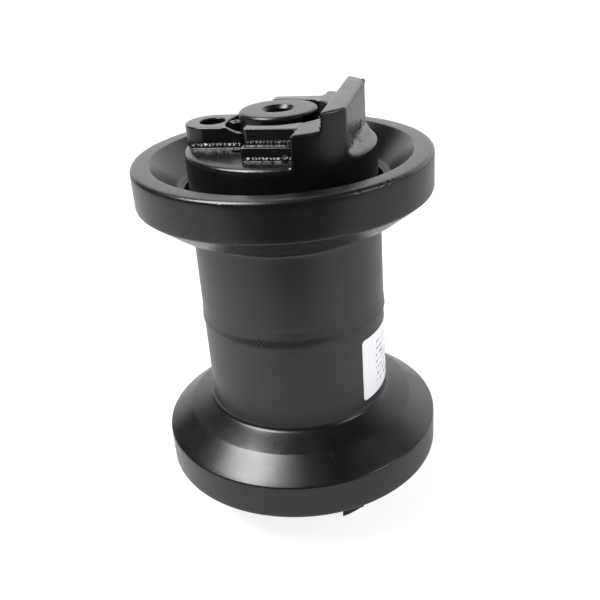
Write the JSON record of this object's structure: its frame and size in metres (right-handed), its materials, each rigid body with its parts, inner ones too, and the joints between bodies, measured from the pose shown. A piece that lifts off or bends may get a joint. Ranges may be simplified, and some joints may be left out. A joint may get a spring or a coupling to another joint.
{
  "type": "track roller",
  "caption": "Double-flanged track roller for a compact tracked machine: a welded steel shell that turns on a fixed shaft, with a forked, horned collar at each end.",
  "frame": {"origin": "on the shaft axis, midway between the two flanges", "axes": "+Z along the shaft towards the upper collar, +X the way the horns' outer flats face, +Y completes the frame"},
  "size_m": [0.14, 0.14, 0.211],
  "materials": {
    "paint": "semi-gloss black",
    "weld_paint": "semi-gloss black over rippled weld",
    "steel": "ground",
    "seal_iron": "lapped",
    "bronze": "satin",
    "rubber": "matt",
    "label": "printed sticker"
  },
  "bodies": {
    "fixed": {"shaft": "paint", "oil_plug": "steel", "upper_collar": "paint", "lower_collar": "paint", "upper_eye_lug": "paint", "lower_eye_lug": "paint", "upper_lug_weld": "weld_paint", "lower_lug_weld": "weld_paint", "upper_arm_blocks": "paint", "lower_arm_blocks": "paint", "upper_arm_plates": "paint", "lower_arm_plates": "paint", "upper_arm_welds": "weld_paint", "lower_arm_welds": "weld_paint", "upper_fixed_seal_ring": "seal_iron", "lower_fixed_seal_ring": "seal_iron", "upper_fixed_toric": "rubber", "lower_fixed_toric": "rubber", "upper_collar_o_ring": "rubber", "lower_collar_o_ring": "rubber", "upper_lock_pin": "paint", "lower_lock_pin": "paint"},
    "roller": {"upper_shell": "paint", "lower_shell": "paint", "girth_weld": "weld_paint", "upper_bush": "bronze", "lower_bush": "bronze", "upper_rotating_seal_ring": "seal_iron", "lower_rotating_seal_ring": "seal_iron", "upper_rotating_toric": "rubber", "lower_rotating_toric": "rubber", "label": "label"}
  },
  "joints": [
    {"name": "roller_spin", "type": "hinge", "parent": "fixed", "child": "roller", "pos_m": [0, 0, 0], "axis": [0, 0, 1], "continuous": true}
  ]
}
